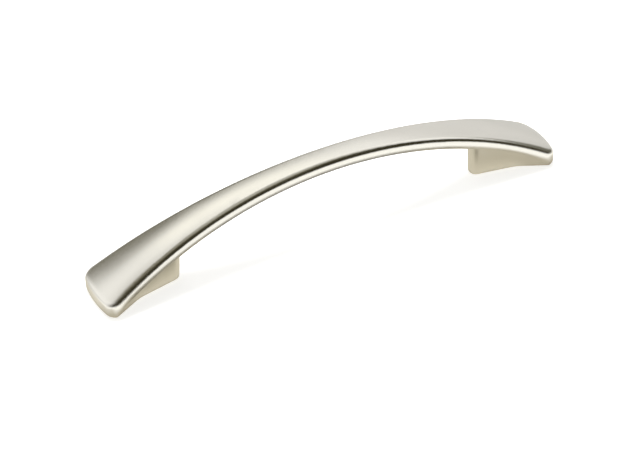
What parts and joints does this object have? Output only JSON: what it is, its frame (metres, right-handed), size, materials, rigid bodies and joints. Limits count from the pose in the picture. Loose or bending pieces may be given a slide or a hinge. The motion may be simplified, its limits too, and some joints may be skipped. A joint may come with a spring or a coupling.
{
  "type": "arch pull",
  "caption": "Arched cabinet or drawer pull: a waisted, crowned bow with flared ends on integral feet, tapped from behind for machine screws.",
  "frame": {"origin": "on the mounting face, midway between the two screw holes", "axes": "+X along the pull, +Y across it, +Z away from the mounting face"},
  "size_m": [0.173, 0.0216, 0.0293],
  "materials": {
    "satin_nickel": "satin nickel plate on die-cast zinc"
  },
  "bodies": {
    "root": {"pull_body": "satin_nickel"}
  },
  "joints": []
}
